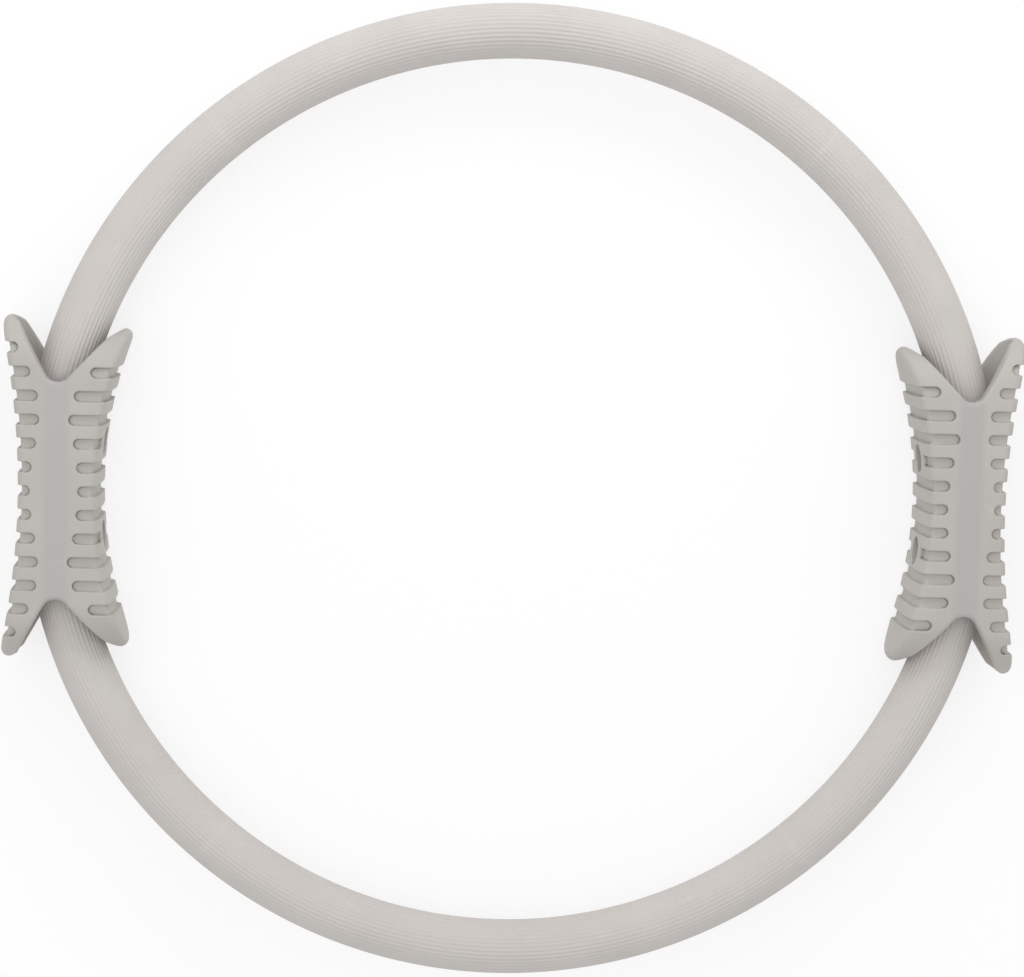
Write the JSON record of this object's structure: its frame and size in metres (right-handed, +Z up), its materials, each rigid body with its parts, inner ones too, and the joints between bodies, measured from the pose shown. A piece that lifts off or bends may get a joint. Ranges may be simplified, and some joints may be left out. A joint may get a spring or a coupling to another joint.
{
  "type": "pilates ring",
  "caption": "Sprung exercise ring with a ribbed foam sleeve and grooved padded hand grips on opposite sides, squeezed or stretched for resistance.",
  "frame": {"origin": "centre of the ring on the floor, below the middle of the opening, with the ring lying flat on the back faces of its grips", "axes": "+Z up along the ring axis, +X from the left grip to the right grip, +Y towards the upper crown of the ring"},
  "size_m": [0.374, 0.36, 0.038],
  "materials": {
    "grip_rubber": "matt moulded thermoplastic rubber",
    "sleeve_foam": null,
    "core_plastic": "moulded polypropylene",
    "fibreglass": "pultruded fibreglass strip",
    "zinc_steel": "zinc plated"
  },
  "bodies": {
    "left_grip": {"left_grip_cover": "grip_rubber", "left_grip_core": "core_plastic", "left_strip_ends": "fibreglass", "left_grip_screws": "zinc_steel", "left_grip_nuts": "zinc_steel"},
    "upper_left_arc": {"upper_left_sleeve": "sleeve_foam", "upper_left_strip": "fibreglass", "upper_crown_sleeve": "sleeve_foam"},
    "upper_right_arc": {"upper_right_sleeve": "sleeve_foam", "upper_right_strip": "fibreglass"},
    "right_grip": {"right_grip_cover": "grip_rubber", "right_grip_core": "core_plastic", "right_strip_ends": "fibreglass", "right_grip_screws": "zinc_steel", "right_grip_nuts": "zinc_steel"},
    "lower_left_arc": {"lower_left_sleeve": "sleeve_foam", "lower_left_strip": "fibreglass", "lower_crown_sleeve": "sleeve_foam"},
    "lower_right_arc": {"lower_right_sleeve": "sleeve_foam", "lower_right_strip": "fibreglass"}
  },
  "joints": [
    {"name": "squeeze", "type": "hinge", "parent": "left_grip", "child": "upper_left_arc", "pos_m": [-0.16625, 0.0355, 0.019], "axis": [0, 0, 1], "range_deg": [-4, 12], "stiffness_Nm_per_rad": 90},
    {"name": "upper_crown_bend", "type": "hinge", "parent": "upper_left_arc", "child": "upper_right_arc", "pos_m": [0, 0.17, 0.019], "axis": [0, 0, 1], "range_deg": [-24, 8], "deforming": ["upper_crown_sleeve"]},
    {"name": "right_upper_bend", "type": "hinge", "parent": "upper_right_arc", "child": "right_grip", "pos_m": [0.16625, 0.0355, 0.019], "axis": [0, 0, 1], "range_deg": [-4, 12]},
    {"name": "left_lower_bend", "type": "hinge", "parent": "left_grip", "child": "lower_left_arc", "pos_m": [-0.16625, -0.0355, 0.019], "axis": [0, 0, 1], "range_deg": [-12, 4]},
    {"name": "lower_crown_bend", "type": "hinge", "parent": "lower_left_arc", "child": "lower_right_arc", "pos_m": [0, -0.17, 0.019], "axis": [0, 0, 1], "range_deg": [-8, 24], "deforming": ["lower_crown_sleeve"]}
  ],
  "couplings": [
    {"joint": "upper_crown_bend", "follows": "squeeze", "ratio": -2},
    {"joint": "right_upper_bend", "follows": "squeeze", "ratio": 1},
    {"joint": "left_lower_bend", "follows": "squeeze", "ratio": -1},
    {"joint": "lower_crown_bend", "follows": "squeeze", "ratio": 2}
  ]
}
